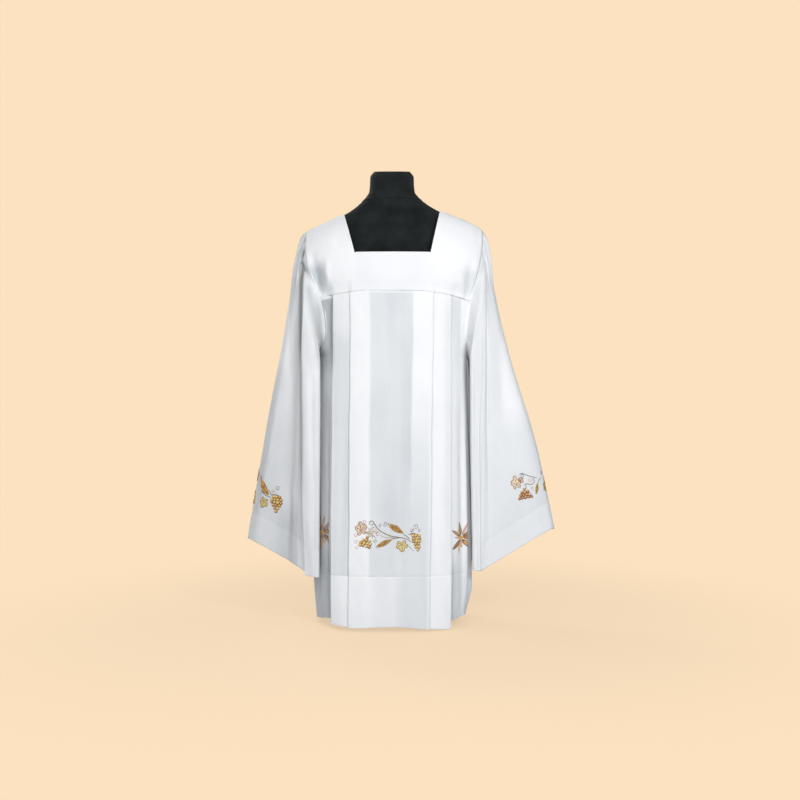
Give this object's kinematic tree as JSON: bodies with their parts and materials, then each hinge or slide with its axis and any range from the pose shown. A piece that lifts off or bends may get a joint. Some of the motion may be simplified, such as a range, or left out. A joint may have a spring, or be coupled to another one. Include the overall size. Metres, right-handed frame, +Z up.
{
  "type": "surplice on a limbless dress form",
  "caption": "White pleated surplice with a square neckline and wide bell sleeves, worn on a black dress form that stands on a hidden post and base.",
  "frame": {"origin": "on the floor, at the middle of the round base's underside", "axes": "+Z up; the front of the garment faces -Y; +X is the wearer's left"},
  "size_m": [0.761, 0.2959, 1.1224],
  "materials": {
    "white_cloth": "matt white plain-weave polyester cotton",
    "black_jersey": "matt black cotton jersey",
    "post_steel": "brushed",
    "base_lacquer": "pale grey powder coat"
  },
  "bodies": {
    "root": {"yoke_front": "white_cloth", "yoke_back": "white_cloth", "front_body": "white_cloth", "back_body": "white_cloth", "sleeve_right": "white_cloth", "sleeve_left": "white_cloth", "form_torso": "black_jersey", "form_post": "post_steel", "form_base": "base_lacquer"}
  },
  "joints": []
}
